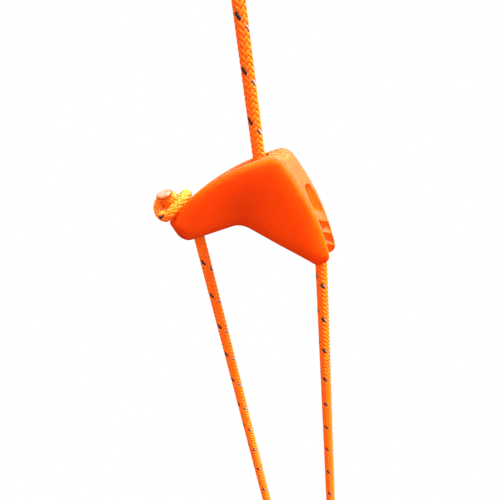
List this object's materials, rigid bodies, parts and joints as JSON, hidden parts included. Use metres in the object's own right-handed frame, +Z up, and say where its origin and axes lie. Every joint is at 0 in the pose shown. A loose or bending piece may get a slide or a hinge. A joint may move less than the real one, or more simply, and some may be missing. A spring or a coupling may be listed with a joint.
{
  "type": "guy-line tensioner",
  "caption": "One-piece moulded cleat that slides on a thin braided line: the line enters a mouth, jams in a toothed V groove, loops round a peg and ends in a knot at a lug.",
  "frame": {"origin": "upper end of the line, on its axis", "axes": "+Z up along the line of pull, +X towards the cleat, +Y across the moulding's thickness"},
  "size_m": [0.0523, 0.0092, 0.2067],
  "materials": {
    "moulding": "satin moulded",
    "cord_sheath": "tight 16-yarn braid",
    "cord_core": "straight white fibre",
    "cord_tracer": "dark yarn with reflective glints",
    "melted_bead": "melted, glossy"
  },
  "bodies": {
    "standing_line": {"standing_line_sheath": "cord_sheath", "standing_line_core": "cord_core", "standing_line_tip": "melted_bead", "feed_line_sheath": "cord_sheath", "feed_line_core": "cord_core"},
    "mouth": {"mouth_line": "cord_sheath"},
    "tensioner": {"tensioner_body": "moulding", "cleat_line_sheath": "cord_sheath", "cleat_line_core": "cord_core"},
    "knotted_end": {"stopper_knot": "cord_sheath", "knot_tail_tip": "melted_bead", "lug_line_sheath": "cord_sheath", "lug_line_core": "cord_core"},
    "loop_head": {"left_leg_sheath": "cord_sheath", "left_leg_core": "cord_core", "right_leg_sheath": "cord_sheath", "right_leg_core": "cord_core"},
    "loop": {"peg_loop_sheath": "cord_sheath", "peg_loop_core": "cord_core"}
  },
  "joints": [
    {"name": "tensioner_slide", "type": "slide", "parent": "standing_line", "child": "mouth", "axis": [0, 0, 1], "range_m": [-0.005, 0.012], "deforming": ["feed_line_sheath", "feed_line_core"]},
    {"name": "tensioner_tilt", "type": "hinge", "parent": "mouth", "child": "tensioner", "pos_m": [0, 0, -0.045], "axis": [0, 1, 0], "range_deg": [-5, 25]},
    {"name": "knot_slide", "type": "slide", "parent": "tensioner", "child": "knotted_end", "axis": [-0.4356, 0, 0.9001], "range_m": [0, 0.006]},
    {"name": "loop_swing", "type": "hinge", "parent": "tensioner", "child": "loop_head", "pos_m": [0, 0, -0.071], "axis": [0, 1, 0], "range_deg": [-27, 6], "deforming": ["left_leg_sheath", "left_leg_core", "right_leg_sheath", "right_leg_core"]},
    {"name": "loop_feed", "type": "slide", "parent": "loop_head", "child": "loop", "axis": [0, 0, -1], "range_m": [-0.0025, 0.006]}
  ],
  "couplings": [
    {"joint": "loop_swing", "follows": "tensioner_tilt", "ratio": -1.06},
    {"joint": "loop_feed", "follows": "tensioner_slide", "ratio": 0.5}
  ]
}
